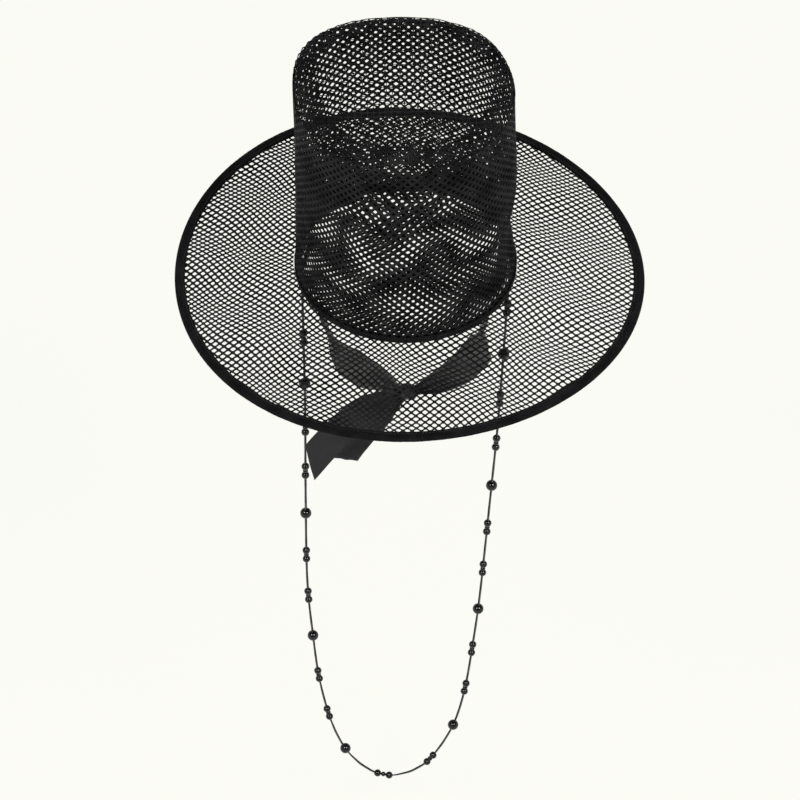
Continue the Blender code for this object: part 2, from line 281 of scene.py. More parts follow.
# ---- nets: the size of a cell, and the share of its width that is open ----
BRIM_CELL = (0.0071, 0.0061)
BRIM_OPENING = 0.69  # at the middle
BRIM_OPENING_SLOPE = (0.23, -0.17)  # its change in a metre, rightwards and back
BRIM_OPENING_RANGE = (0.62, 0.75)
WALL_CELLS_ROUND = 75
WALL_CELL_HEIGHT = 0.0074
WALL_OPENING = 0.59
BACK_OPENING = [  # change at the back, its start and its span
    (0.16, 0.115, -0.03), (-0.14, 0.135, 0.04),
]
LINING_CELLS_ROUND = 73
LINING_CELL_HEIGHT = 0.0071
LINING_OPENING = 0.59
LINING_SLANT = 0.2
SHOULDER_CELLS_ROUND = 74
SHOULDER_CELL_HEIGHT = 0.0062
SHOULDER_OPENING = 0.63
TOP_CELL = 0.0051
TOP_OPENING = 0.87
TOP_HALF_THREAD = 0.00036
TOP_CORNER = 0.16
HALF_THREAD = 0.00045  # half a thread's thickness
THREAD_EDGE = 0.45  # its share of that beside a hole
HOLE_CORNER = 0.2  # share of a side where a hole's corner is cut

# ---- waves round the hat: size, how many go round, and start ----
BRIM_RIPPLES = [(0.0011, 7, 2.0), (0.0009, 11, 0.0)]
SHOULDER_RAGS = [(0.0032, 5, 0.0), (0.0018, 17, 1.0)]
RIM_PUCKERS = [(0.1, 214, 0.0), (0.1, 61, 1.0), (0.1, 23, 0.0)]
RING_PUCKERS = [(0.05, 106, 0.0), (0.05, 31, 0.0)]
WALL_WAVES = [  # size, how many go round, climb and start
    (0.0016, 3, 22, 0.0), (0.001, 5, -35, 1.0),
]

# ---- beaded cord ----
CORD_DIAMETER = 0.0021  # both strands together
CORD_LENGTH = 1.47
CORD_RUNS = 76
STEPS_PER_RUN = 8
EASING = 2  # steps to each side that a bend is eased over
STRANDS = [  # start, distance from the middle, and radius
    (0.0, 0.00054, 0.00058), (math.pi, 0.00056, 0.00055),
]
STRAND_TURN = 0.055  # the two strands swing to and fro in this length
STRAND_SWING = 0.55
STRAND_SIDES = 8
BEAD_GROUPS = 12
BEADS_MIDDLE = 39  # the run that the bead pattern starts from
RUNS_PER_GROUP = 3
BORE = 0.00115
LARGE_BEAD = 0.0052
MEDIUM_BEAD = 0.0036
SMALL_BEAD = 0.0024
BEAD_PITCH = 0.0059
BEAD_STEPS = 32
BEAD_OUTLINE = 17
TAB_RADIUS = 0.0888
TAB_SIZE = (0.0016, 0.008, 0.012)
TAB_MIDDLE = -0.002
TAB_ROWS = 9
TAB_SIDES = 12
TAB_SQUARENESS = (0.7, 0.35)  # 1 is an oval, and 0 a rectangle
TAB_NARROWING = 0.35
CORD_START = -0.0083

# the cord's route from the left tab to the right one
CORD_ROUTE = [
    (-TAB_RADIUS, 0.0, CORD_START), (-0.0886, 0.001, -0.06),
    (-0.0888, 0.002, -0.18), (-0.0905, 0.003, -0.3),
    (-0.0912, 0.003, -0.42), (-0.0872, 0.002, -0.5),
    (-0.0815, 0.001, -0.57), (-0.069, 0.0, -0.64),
    (-0.05, 0.0, -0.688), (-0.021, 0.0, -0.715),
    (0.01, 0.0, -0.706), (0.029, 0.0, -0.68),
    (0.047, 0.0, -0.634), (0.0575, 0.001, -0.58),
    (0.0645, 0.002, -0.51), (0.07, 0.003, -0.44),
    (0.0775, 0.003, -0.3), (0.0825, 0.002, -0.2),
    (0.0858, 0.001, -0.1), (TAB_RADIUS, 0.0, CORD_START),
]

# ---- stitches: length and half thickness ----
RIM_STITCH = (0.0021, 0.00019)
RIM_STITCHES = 428
RIM_SEAM = (0.0018, 0.0013)  # distance from the tape's edge, and height
RING_STITCH = (0.002, 0.00018)
RING_STITCHES = 212
RING_SEAM = 0.0019
TAB_STITCH = (0.0019, 0.00016)
TAB_STITCH_ROWS = 4
TAB_STITCH_PITCH = 0.0026
TAB_STITCH_START = -0.0042
STITCH_SIDES = 6
STITCH_FLATNESS = 0.8
STITCH_DIVE = 1.3  # how deep its ends go, in half thicknesses
STITCH_SHAPE = [  # place along a stitch, and thickness
    (-1.0, 0.45), (-0.65, 0.9), (0.0, 1.0), (0.65, 0.9), (1.0, 0.45),
]

# ---- ribbon ties ----
RIBBON_CLOTH = 0.028  # width of the ribbon, laid flat
RIBBON_THICKNESS = 0.0003
RIBBON_LEAST = 0.003  # width where it is gathered most
RIBBON_FOLDS = 3
RIBBON_COLUMNS = 24
RIBBON_STEPS = 9  # from one row of the lists below to the next
FOLD_FULLNESS = 0.42
RIBBON_DRAPE = (0.0008, 0.011)
SELVEDGE = 0.462  # where the firm edge starts, from the middle
KNOT = Vector((0.002, 0.065, -0.231))
KNOT_RADII = Vector((0.0105, 0.008, 0.009))
KNOT_WIDTH = 0.009  # of a ribbon where it goes into the knot
KNOT_ROWS = 22
KNOT_STEPS = 40
END_SLANT = 0.02  # how much longer one edge of a cut end is

# each row: position and width
TIE_RIGHT = [
    (0.068, -0.0615, -0.0036, 0.004), (0.0672, -0.056, -0.015, 0.0036),
    (0.0662, -0.043, -0.033, 0.004), (0.0645, -0.025, -0.062, 0.006),
    (0.0665, -0.01, -0.086, 0.018), (0.065, 0.002, -0.108, 0.028),
    (0.057, 0.018, -0.14, 0.029), (0.045, 0.036, -0.175, 0.027),
    (0.027, 0.054, -0.208, 0.02), (0.0135, 0.062, -0.2235, 0.011),
]
TIE_LEFT = [
    (-0.07, -0.06, -0.0036, 0.004), (-0.0692, -0.054, -0.016, 0.0036),
    (-0.0665, -0.041, -0.042, 0.004), (-0.062, -0.024, -0.074, 0.007),
    (-0.0565, -0.008, -0.105, 0.018), (-0.049, 0.008, -0.133, 0.028),
    (-0.0395, 0.024, -0.16, 0.029), (-0.029, 0.04, -0.186, 0.026),
    (-0.018, 0.054, -0.209, 0.019), (-0.0095, 0.062, -0.2235, 0.011),
]
END_LEFT = [
    (-0.01, 0.0655, -0.2365, 0.012), (-0.021, 0.065, -0.243, 0.019),
    (-0.038, 0.063, -0.255, 0.027), (-0.056, 0.06, -0.273, 0.029),
    (-0.073, 0.056, -0.293, 0.029), (-0.088, 0.052, -0.313, 0.028),
]
END_RIGHT = [
    (-0.004, 0.069, -0.241, 0.011), (-0.012, 0.0725, -0.252, 0.018),
    (-0.024, 0.074, -0.269, 0.026), (-0.037, 0.0735, -0.288, 0.028),
    (-0.049, 0.072, -0.308, 0.028), (-0.059, 0.07, -0.327, 0.027),
]

# the way each row's width points, with the knot's; the left tie mirrors these
TIE_WAYS = [(0.67, 0.74, 0.0), (0.67, 0.74, 0.0), (0.7, 0.5, -0.3), (0.7, 0.0, -0.5)]
TIE_WAYS += [(0.68, -0.51, -0.52)] * 7
END_LEFT_WAYS = [(0.61, -0.55, -0.56)] * 7
END_RIGHT_WAYS = [(0.66, -0.5, -0.56)] * 7


# ---- shared helpers ----
def link(item):
    bpy.context.scene.collection.objects.link(item)
    return item


def mesh_piece(name, points, faces, materials, uv=None, turn_out=True):
    """A smooth mesh object.  uv is each point's place on the cloth, and turn_out
    makes the faces look outwards."""
    mesh = bpy.data.meshes.new(name)
    mesh.from_pydata(points, [], faces)
    for material in materials:
        mesh.materials.append(material)
    if uv is not None:
        layer = mesh.uv_layers.new(name="cloth")
        for loop in mesh.loops:
            layer.data[loop.index].uv = uv[loop.vertex_index]
    if turn_out:
        work = bmesh.new()
        work.from_mesh(mesh)
        bmesh.ops.recalc_face_normals(work, faces=work.faces)
        work.to_mesh(mesh)
        work.free()
    mesh.polygons.foreach_set("use_smooth", [True] * len(mesh.polygons))
    return link(bpy.data.objects.new(name, mesh))


def stand_for(piece, slot, *nodes):
    """The piece rides on the one body and stands for these nodes."""
    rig.ride(piece, "root")
    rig.slot(piece, slot)
    if nodes:
        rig.replaces(piece, *nodes)
    return piece


def hump(value, middle, width):
    return math.exp(-((value - middle) / width) ** 2)


def clamp(value, low=0.0, high=1.0):
    return min(max(value, low), high)


def half_turn(angle):
    """The same angle, from minus to plus half a turn."""
    return (angle + math.pi) % math.tau - math.pi


def frill(angle, waves):
    """The sum of some waves round the hat."""
    total = 0.0
    for size, turns, start in waves:
        total += size * math.sin(turns * angle + start)
    return total


def circle(centre, side, other, radius, count):
    """Points round a centre, in the plane of two directions."""
    points = []
    for number in range(count):
        angle = math.tau * number / count
        out = side * math.cos(angle) + other * math.sin(angle)
        points.append(centre + out * radius)
    return points


def ring_quads(first, rings, sides, closed=False):
    """Quads between rings of points; closed joins the last ring to the first."""
    quads = []
    for ring in range(rings if closed else rings - 1):
        here = first + ring * sides
        there = first + (ring + 1) % rings * sides
        for corner in range(sides):
            after = (corner + 1) % sides
            quads.append((here + corner, here + after, there + after, there + corner))
    return quads


def tube_faces(first, rings, sides):
    """The quads of a tube and its two ends."""
    last = first + (rings - 1) * sides
    ends = [tuple(range(first, first + sides)), tuple(range(last, last + sides))]
    return ring_quads(first, rings, sides) + ends


def smooth_curve(knots, per_span=24):
    """A smooth curve through the knots, as many short steps."""
    knots = [Vector(knot) for knot in knots]
    before = knots[0] * 2 - knots[1]
    after = knots[-1] * 2 - knots[-2]
    padded = [before] + knots + [after]
    curve = []
    for index in range(1, len(padded) - 2):
        a, b, c, d = padded[index - 1:index + 3]
        for step in range(per_span):
            t = step / per_span
            curve.append(0.5 * (
                2 * b + (c - a) * t
                + (2 * a - 5 * b + 4 * c - d) * t ** 2
                + (3 * b - a - 3 * c + d) * t ** 3
            ))
    curve.append(knots[-1])
    return curve


def evenly(curve, runs):
    """runs + 1 points at equal distances along a curve."""
    distance = [0.0]
    for here, there in zip(curve, curve[1:]):
        distance.append(distance[-1] + (there - here).length)
    points = []
    index = 0
    for run in range(runs + 1):
        wanted = distance[-1] * run / runs
        while index < len(curve) - 2 and distance[index + 1] < wanted:
            index += 1
        span = distance[index + 1] - distance[index]
        points.append(curve[index].lerp(
            curve[index + 1], (wanted - distance[index]) / span))
    return points


# ---- materials ----
def add(tree, kind, settings=None, **sockets):
    """A node with its settings, and its sockets set or linked."""
    made = tree.nodes.new(kind)
    for key, value in (settings or {}).items():
        setattr(made, key, value)
    for key, value in sockets.items():
        connect(tree, made.inputs[key.replace("_", " ")], value)
    return made


def connect(tree, socket, value):
    """The socket is linked to another one, or set to a number or colour."""
    if isinstance(value, bpy.types.NodeSocket):
        tree.links.new(value, socket)
    else:
        socket.default_value = value


def new_material(name, **constants):
    """A material, its node tree and its shader, with these constants set."""
    material = bpy.data.materials.new(name)
    material.use_nodes = True
    tree = material.node_tree
    shader = tree.nodes["Principled BSDF"]
    for key, value in constants.items():
        shader.inputs[key.replace("_", " ")].default_value = value
    return material, tree, shader


def in_metres(tree):
    return add(tree, "ShaderNodeTexCoord").outputs["Object"]


def on_cloth(tree):
    return add(tree, "ShaderNodeUVMap", {"uv_map": "cloth"}).outputs["UV"]


def cloud(tree, where, scale, detail=2.0):
    noise_node = add(
        tree, "ShaderNodeTexNoise", Vector=where, Scale=scale, Detail=detail)
    return noise_node.outputs["Fac"]


def two_tones(tree, name, factor):
    """A ramp from the material's darker colour to its lighter one."""
    ramp = add(tree, "ShaderNodeValToRGB", Fac=factor)
    for stop, colour in zip(ramp.color_ramp.elements, COLOURS[name]):
        stop.color = (*colour, 1.0)
    return ramp


def carried(tree, value, old, new):
    """A value carried over from its old range to a new one."""
    made = add(
        tree, "ShaderNodeMapRange", Value=value, From_Min=old[0], From_Max=old[1],
        To_Min=new[0], To_Max=new[1])
    return made.outputs["Result"]


def mottled(name, tree, shader, where, scale, rough):
    """Colour and roughness that drift a little over the surface."""
    ramp = two_tones(tree, name, cloud(tree, where, scale, 5.0))
    ramp.color_ramp.elements[0].position = 0.35
    ramp.color_ramp.elements[1].position = 0.7
    connect(tree, shader.inputs["Base Color"], ramp.outputs["Color"])
    fine = cloud(tree, where, scale * 6, 3.0)
    connect(tree, shader.inputs["Roughness"], carried(tree, fine, (0.3, 0.7), rough))
    return ramp.outputs["Color"]


def raised(tree, shader, height, strength, depth):
    bump = add(
        tree, "ShaderNodeBump", Height=height, Strength=strength, Distance=depth)
    connect(tree, shader.inputs["Normal"], bump.outputs["Normal"])


def maths(tree, operation, first, second=0.0):
    made = add(tree, "ShaderNodeMath", {"operation": operation})
    connect(tree, made.inputs[0], first)
    connect(tree, made.inputs[1], second)
    return made.outputs[0]


def bands(tree, where, direction, period):
    """Soft ridges, one each period, in metres, along an axis of where.
    The wave node makes 20 / tau of them in a metre at a scale of 1."""
    wave = add(
        tree, "ShaderNodeTexWave",
        {"bands_direction": direction, "wave_profile": "SIN"},
        Vector=where, Scale=math.tau / 20 / period, Distortion=0.6, Detail=1.0)
    return wave.outputs["Fac"]


def net_material(name, loop):
    """Matte nylon thread knitted in small loops of this size."""
    material, tree, shader = new_material(name, Specular_IOR_Level=0.07)
    where = in_metres(tree)
    mottled(name, tree, shader, where, 45.0, (0.55, 0.8))
    loops = add(
        tree, "ShaderNodeTexVoronoi", {"feature": "SMOOTH_F1"},
        Vector=where, Scale=1 / loop, Randomness=0.6)
    fibre = cloud(tree, where, 4 / loop)
    height = maths(tree, "MULTIPLY", loops.outputs["Distance"], fibre)
    raised(tree, shader, height, 0.55, loop * 0.35)
    return material


def tape_material():
    """Woven black tape: warp and weft ribs, with a little lint."""
    name = "woven_tape"
    material, tree, shader = new_material(
        name, Specular_IOR_Level=0.06, Sheen_Weight=0.015, Sheen_Roughness=0.5)
    where = on_cloth(tree)
    colour = mottled(name, tree, shader, where, 120.0, (0.7, 0.92))
    flecks = carried(tree, cloud(tree, where, 900.0), (0.66, 0.74), (0.0, 0.35))
    mixed = add(tree, "ShaderNodeMix", {"data_type": "RGBA"}, Factor=flecks)
    base, fleck = mixed.inputs[6], mixed.inputs[7]
    connect(tree, base, colour)
    connect(tree, fleck, LINT)
    connect(tree, shader.inputs["Base Color"], mixed.outputs[2])
    warp = bands(tree, where, "X", 0.00075)
    weft = bands(tree, where, "Y", 0.0006)
    raised(tree, shader, maths(tree, "MULTIPLY", warp, weft), 0.6, 0.00018)
    return material


def ribbon_material():
    """Sheer organza: fine open weave, firmer along its woven edges."""
    name = "sheer_ribbon"
    material, tree, shader = new_material(
        name, Specular_IOR_Level=0.3, Sheen_Weight=0.15, Sheen_Roughness=0.35)
    where = on_cloth(tree)
    mottled(name, tree, shader, where, 90.0, (0.45, 0.65))
    split = add(tree, "ShaderNodeSeparateXYZ", Vector=where)
    from_middle = maths(
        tree, "ABSOLUTE", maths(tree, "SUBTRACT", split.outputs["X"], 0.5))
    selvedge = maths(tree, "GREATER_THAN", from_middle, SELVEDGE)
    scaled = add(
        tree, "ShaderNodeMapping", Vector=where, Scale=(RIBBON_CLOTH, 1.0, 1.0))
    warp = bands(tree, scaled.outputs["Vector"], "X", 0.00055)
    weft = bands(tree, scaled.outputs["Vector"], "Y", 0.00055)
    weave = maths(tree, "MAXIMUM", warp, weft)
    cloth = carried(tree, weave, (0.0, 1.0), (0.93, 0.995))
    solid = maths(tree, "MAXIMUM", cloth, selvedge)
    connect(tree, shader.inputs["Alpha"], solid)
    raised(tree, shader, weave, 0.4, 0.00015)
    return material


def strand_material(name, pitch):
    """Twisted cord: slanting plies along the strand."""
    material, tree, shader = new_material(name, Specular_IOR_Level=0.35)
    where = on_cloth(tree)
    mottled(name, tree, shader, where, 60.0, (0.4, 0.65))
    turned = add(
        tree, "ShaderNodeMapping", Vector=where,
        Rotation=(0.0, 0.0, math.radians(35)))
    plies = bands(tree, turned.outputs["Vector"], "X", pitch)
    raised(tree, shader, plies, 0.8, 0.00025)
    return material


def marked_material(name, scale, rough, marks, strength, **constants):
    """A smooth surface with fine marks: polished beads, drawn wire or thread."""
    material, tree, shader = new_material(name, **constants)
    where = in_metres(tree)
    mottled(name, tree, shader, where, scale, rough)
    raised(tree, shader, cloud(tree, where, *marks), strength, 0.0001)
    return material


# ---- camera, floor and lights ----
def aim(item, place, target):
    """Put a camera or lamp at a place, looking at its target."""
    item.location = place
    view = Vector(target) - Vector(place)
    item.rotation_euler = view.to_track_quat("-Z", "Y").to_euler()


def make_camera():
    data = bpy.data.cameras.new("camera")
    data.lens = CAMERA_LENS
    data.sensor_width = CAMERA_SENSOR
    camera = link(bpy.data.objects.new("camera", data))
    aim(camera, CAMERA_AT, CAMERA_AIM)
    bpy.context.scene.camera = camera


def make_floor():
    """A plain pale floor, evenly lit, under the hanging cord."""
    material, tree, shader = new_material(
        "pale_floor", Roughness=0.9, Specular_IOR_Level=0.0,
        Emission_Color=PALE, Emission_Strength=FLOOR_GLOW)
    grain = cloud(tree, in_metres(tree), 400.0)
    ramp = two_tones(tree, "pale_floor", grain)
    connect(tree, shader.inputs["Base Color"], ramp.outputs["Color"])
    height = cad_box[0][2] - FLOOR_GAP
    corners = [
        (x * FLOOR_HALF, y * FLOOR_HALF, height)
        for x, y in ((-1, -1), (1, -1), (1, 1), (-1, 1))
    ]
    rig.stage(mesh_piece("floor", corners, [(0, 1, 2, 3)], [material]))


def make_lights():
    """Two softboxes, and a sky that is as pale as the floor at the horizon."""
    world = bpy.data.worlds.new("studio")
    world.use_nodes = True
    tree = world.node_tree
    sky = tree.nodes["Background"]
    sky.inputs["Color"].default_value = PALE
    direction = add(tree, "ShaderNodeTexCoord").outputs["Generated"]
    split = add(tree, "ShaderNodeSeparateXYZ", Vector=direction)
    fade = carried(tree, split.outputs["Z"], SKY_HEIGHTS, SKY_STRENGTHS)
    connect(tree, sky.inputs["Strength"], fade)
    bpy.context.scene.world = world
    for name, place, power in SOFTBOXES:
        data = bpy.data.lights.new(name, "AREA")
        data.shape = "DISK"
        data.size = SOFTBOX_SIZE
        data.energy = power
        aim(link(bpy.data.objects.new(name, data)), place, (0.0, 0.0, 0.0))
    bpy.context.scene.view_settings.view_transform = "Standard"


# ---- beaded cord ----
def cord_path(points):
    """Fine points along the straight runs, eased a little where they meet."""
    fine = []
    for here, there in zip(points, points[1:]):
        for step in range(STEPS_PER_RUN):
            fine.append(here.lerp(there, step / STEPS_PER_RUN))
    fine.append(points[-1])
    eased = []
    for index in range(len(fine)):
        near = min(EASING, index, len(fine) - 1 - index)
        around = fine[index - near:index + near + 1]
        eased.append(sum(around, Vector()) / len(around))
    return eased


def directions(start, end):
    """The direction from start to end, and two across it."""
    along = (end - start).normalized()
    side = along.cross(Vector((0.0, 1.0, 0.0))).normalized()
    return along, side, along.cross(side)


def make_strands(path, materials):
    """Two thin strands side by side, which swing a little round each other."""
    points = []
    faces = []
    uv = []
    strand_of_face = []
    for number, (start, offset, radius) in enumerate(STRANDS):
        first = len(points)
        walked = 0.0
        for index, centre in enumerate(path):
            before = path[max(index - 1, 0)]
            after = path[min(index + 1, len(path) - 1)]
            walked += (centre - before).length
            side, other = directions(before, after)[1:]
            turn = start + STRAND_SWING * math.sin(math.tau * walked / STRAND_TURN)
            middle = centre + offset * (side * math.cos(turn) + other * math.sin(turn))
            points += circle(middle, side, other, radius, STRAND_SIDES)
            for corner in range(STRAND_SIDES):
                uv.append((walked, radius * (math.tau * corner / STRAND_SIDES)))
        faces += tube_faces(first, len(path), STRAND_SIDES)
        strand_of_face += [number] * (len(faces) - len(strand_of_face))
    piece = mesh_piece("cord_strands", points, faces, materials, uv)
    piece.data.polygons.foreach_set("material_index", strand_of_face)
    return piece


def bead_outline(radius, middle):
    """The section of one bead, with its hole, as radius and height."""
    start = math.asin(BORE / radius)
    outline = []
    for point in range(BEAD_OUTLINE):
        angle = start + (math.pi - 2 * start) * point / (BEAD_OUTLINE - 1)
        outline.append((radius * math.sin(angle), middle - radius * math.cos(angle)))
    return outline


def make_beads(name, start, end, radii, material):
    """Round beads that touch, threaded on one straight run of the cord."""
    middle = (start + end) / 2
    along, side, other = directions(start, end)
    points = []
    faces = []
    for number, radius in enumerate(radii):
        height = BEAD_PITCH * (number - (len(radii) - 1) / 2)
        first = len(points)
        for reach, level in bead_outline(radius, height):
            points += circle(middle + along * level, side, other, reach, BEAD_STEPS)
        faces += ring_quads(first, BEAD_OUTLINE, BEAD_STEPS, closed=True)
    return mesh_piece(name, points, faces, [material])


def make_beaded_cord(strands, bead):
    """The cord and its twenty-four groups of beads, declared as one free cord."""
    points = evenly(smooth_curve(CORD_ROUTE), CORD_RUNS)
    path = cord_path(points)
    cord = stand_for(make_strands(path, strands), "cord", "bead_cord")
    triple = (MEDIUM_BEAD, SMALL_BEAD, MEDIUM_BEAD)
    groups = []
    for number in range(BEAD_GROUPS):
        radii = (LARGE_BEAD,) if number % 3 == 1 else triple
        run = RUNS_PER_GROUP * number + 1
        for side, start in (
            ("left", BEADS_MIDDLE - run - 1), ("right", BEADS_MIDDLE + run),
        ):
            node = f"beads_{side}_{number + 1:02d}"
            group = make_beads(
                "polished_" + node, points[start], points[start + 1], radii, bead)
            groups.append(stand_for(group, "bead", node))
    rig.cord(
        cord, exit=CORD_ROUTE[0], length=CORD_LENGTH, diameter=CORD_DIAMETER,
        far_end="object", stiffness="limp", lay="hanging", with_pieces=groups,
        path=path)


# ---- nets ----
def lozenges(columns, rows, width, height, first_row=1):
    """Staggered cells: each is its four corners on the flat lattice."""
    cells = []
    for row in range(first_row, first_row + rows):
        for column in columns:
            u = (column + 0.5 * (row % 2)) * width
            v = row * height / 2
            cells.append([
                (u - width / 2, v), (u, v - height / 2),
                (u + width / 2, v), (u, v + height / 2),
            ])
    return cells


def cells_round(radius, count, rows, height):
    """Staggered cells once round a tube, and the length of that round trip."""
    width = math.tau * radius / count
    return lozenges(range(count), rows, width, height), width * count


def hole_in(cell, middle, open_share, corner):
    """A cell's hole: its eight corners, two beside each corner of the cell."""
    hole = []
    for (u, v), (next_u, next_v) in zip(cell, cell[1:] + cell[:1]):
        for share in (corner, 1 - corner):
            side_u = u + (next_u - u) * share
            side_v = v + (next_v - v) * share
            hole.append((
                middle[0] + (side_u - middle[0]) * open_share,
                middle[1] + (side_v - middle[1]) * open_share))
    return hole


def make_net(part, cells, place, opening, material, round_trip=None,
             thread=HALF_THREAD, corner=HOLE_CORNER):
    """A net of real holes.  place(u, v, height) puts a lattice point in space,
    opening is a hole's share of its cell's width, or a function of u and v that
    gives it, and round_trip is the lattice's length where it closes on itself."""
    points = []
    faces = []
    found = {}
    sides = {}

    def at(u, v, height):
        turn = u if round_trip is None else u % round_trip
        if round_trip is not None and round_trip - turn < 1e-6:
            turn = 0.0
        key = (round(turn, 6), round(v, 6), height > 0)
        if key not in found:
            found[key] = len(points)
            points.append(place(u, v, height))
        return found[key]

    for cell in cells:
        middle = (sum(u for u, v in cell) / 4, sum(v for u, v in cell) / 4)
        open_share = opening(*middle) if callable(opening) else opening
        above = [at(u, v, thread) for u, v in cell]
        below = [at(u, v, -thread) for u, v in cell]
        rim = len(points)
        for u, v in hole_in(cell, middle, open_share, corner):
            points.append(place(u, v, thread * THREAD_EDGE))
            points.append(place(u, v, -thread * THREAD_EDGE))
        for side in range(4):
            after = (side + 1) % 4
            first = rim + 4 * side
            second = first + 2
            third = rim + (4 * side + 4) % 16
            faces.append((above[side], above[after], second, first))
            faces.append((above[after], third, second))
            faces.append((below[after], below[side], first + 1, second + 1))
            faces.append((below[after], second + 1, third + 1))
            faces.append((first, second, second + 1, first + 1))
            faces.append((second, third, third + 1, second + 1))
            key = tuple(sorted((above[side], above[after])))
            sides[key] = None if key in sides else (
                above[after], above[side], below[side], below[after])
    faces += [wall for wall in sides.values() if wall is not None]
    net = mesh_piece(part + "_lattice", points, faces, [material], turn_out=False)
    stand_for(net, "net", part + "_net")


def upright(radius, height, angle):
    return (radius * math.cos(angle), radius * math.sin(angle), height)


def on_crown(radius, height, angle):
    """A point of the crown, which is fuller towards its back and its top."""
    bulge = 0.0
    for share, middle, width in CROWN_BULGES:
        bulge += share * hump(angle % math.tau, middle, width)
    rise = clamp(height / CROWN_HEIGHT)
    return upright(radius * (1 + bulge * rise ** 2), height, angle)


def on_brim(radius, height, angle):
    """A point of the brim, which droops, leans and waves towards its rim."""
    share = max(0.0, (radius - RING_OUTER) / (BRIM_RADIUS - RING_OUTER))
    fall = BRIM_DROOP + BRIM_LEAN * math.cos(angle)
    fall += BRIM_SADDLE * math.cos(2 * (angle - BRIM_SADDLE_TURN))
    x, y, z = upright(radius, height, angle)
    return x + BRIM_SHIFT * share, y, z - fall * share


def brim_drift(u, v):
    """How far the brim's lattice is pulled out of true at a point."""
    one = 0.002 * math.sin(math.tau * (u * 0.35 + v) / 0.071 + 1.2)
    two = 0.0016 * math.sin(math.tau * (u - v * 0.4) / 0.093 + 0.4)
    three = noise.noise(Vector((u, v, 0.0)) * 14.0) * 0.0035
    return (
        one * 0.5 + two + three + 0.06 * v,
        one + two * 0.4 - three - 0.08 * u,
    )


def brim_opening(u, v):
    """The holes are smaller on the left and towards the back."""
    rightwards, back = BRIM_OPENING_SLOPE
    return clamp(BRIM_OPENING + rightwards * u + back * v, *BRIM_OPENING_RANGE)


def make_brim_net(material):
    width, height = BRIM_CELL
    across = int(BRIM_RADIUS / width) + 3
    down = int(2 * BRIM_RADIUS / height) + 6

    def polar(u, v):
        drift = brim_drift(u, v)
        x, y = u + drift[0], v + drift[1]
        return math.hypot(x, y), math.atan2(y, x)

    def place(u, v, level):
        radius, angle = polar(u, v)
        ripple = frill(angle, BRIM_RIPPLES)
        ripple += 0.0022 * noise.noise(Vector((u, v, 3.0)) * 22.0)
        ripple *= hump(radius, *BRIM_SLACK)
        radius = clamp(radius, BRIM_NET_START, BRIM_NET_EDGE)
        return on_brim(radius, level + ripple, angle)

    cells = []
    for cell in lozenges(range(-across, across + 1), 2 * down, width, height, -down):
        reach = [polar(u, v)[0] for u, v in cell]
        if max(reach) > BRIM_NET_START + 0.001 and min(reach) < BRIM_NET_EDGE - 0.0012:
            cells.append(cell)
    make_net("brim", cells, place, brim_opening, material)


def wall_radius(angle, height):
    """The crown wall's radius: it leans in, and is pinched low on the right."""
    share = (height - CROWN_FOOT) / (WALL_TOP - CROWN_FOOT)
    radius = WALL_FOOT_RADIUS + (WALL_TOP_RADIUS - WALL_FOOT_RADIUS) * share
    loose = math.sin(math.pi * clamp(share))
    radius -= WALL_LEAN * math.cos(angle) * min(share, 1.0)
    radius -= PINCH_DEPTH * hump(angle, *PINCH_ROUND) * hump(height, *PINCH_UP)
    for size, turns, climb, start in WALL_WAVES:
        radius += size * loose * math.sin(turns * angle + climb * height + start)
    return radius


def wall_opening(angle, height):
    """The back is open low down, and drawn in towards the crown's top."""
    change = 0.0
    for most, start, span in BACK_OPENING:
        change += most * clamp((height - start) / span)
    return WALL_OPENING + max(0.0, math.sin(angle)) * change


def make_wall_net(material):
    rows = int(2 * (WALL_TOP - CROWN_FOOT) / WALL_CELL_HEIGHT)
    cells, round_trip = cells_round(
        WALL_FOOT_RADIUS, WALL_CELLS_ROUND, rows, WALL_CELL_HEIGHT)

    def place(u, v, level):
        height = clamp(CROWN_FOOT + v, CROWN_FOOT, WALL_TOP)
        angle = math.tau * u / round_trip
        drift = noise.noise(Vector(upright(2.2, height * 22, angle)))
        angle += drift * 0.035 * math.sin(math.pi * height / WALL_TOP)
        angle = half_turn(angle)
        return on_crown(wall_radius(angle, height) + level, height, angle)

    make_net(
        "crown_wall", cells, place,
        lambda u, v: wall_opening(math.tau * u / round_trip, CROWN_FOOT + v),
        material, round_trip)


def above_fold(angle, height):
    """How far a point lies above the V-shaped fold, and its angle from the front."""
    from_front = half_turn(angle + math.pi / 2)
    sideways = math.hypot(LINING_FOOT_RADIUS * from_front, FOLD_ROUNDING)
    return height - FOLD_TIP - FOLD_SLOPE * sideways, from_front


